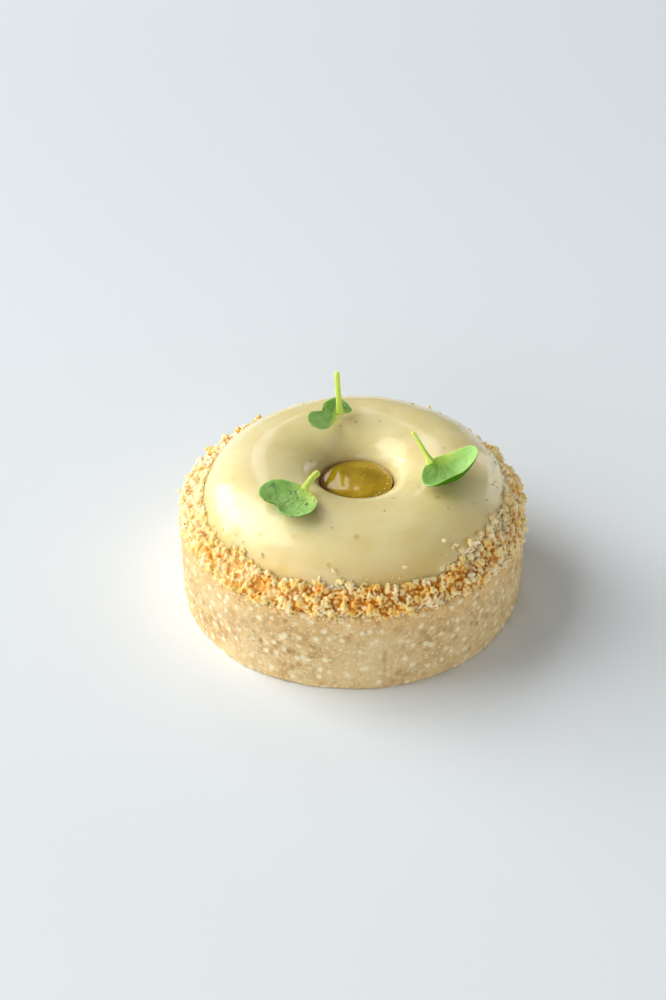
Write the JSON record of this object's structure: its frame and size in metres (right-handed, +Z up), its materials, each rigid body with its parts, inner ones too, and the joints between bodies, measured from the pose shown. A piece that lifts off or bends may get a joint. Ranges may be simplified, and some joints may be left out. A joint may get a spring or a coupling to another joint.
{
  "type": "lime mint tart",
  "caption": "Round biscuit tart shell topped with a glazed mousse ring, a lime gel centre, a band of crumble and cress sprigs.",
  "frame": {"origin": "middle of the flat base of the biscuit shell", "axes": "+Z up through the tart; -Y is the front, and +X is to the right of someone facing the front"},
  "size_m": [0.0802, 0.0802, 0.0475],
  "materials": {
    "biscuit": "pale baked biscuit with cream specks, matt and slightly rough",
    "mousse_glaze": "pale yellow green mousse under a clear glaze, smooth and glossy",
    "lime_gel": "amber green gel, see-through and wet",
    "crumble": "golden to cream baked crumbs, matt",
    "cress": "fresh green leaf and pale stem, satin"
  },
  "bodies": {
    "root": {"tart_crust": "biscuit", "mousse_ring": "mousse_glaze", "lime_gel": "lime_gel", "crumble_ring": "crumble", "sprig_left": "cress", "sprig_right": "cress", "sprig_back": "cress"}
  },
  "joints": []
}
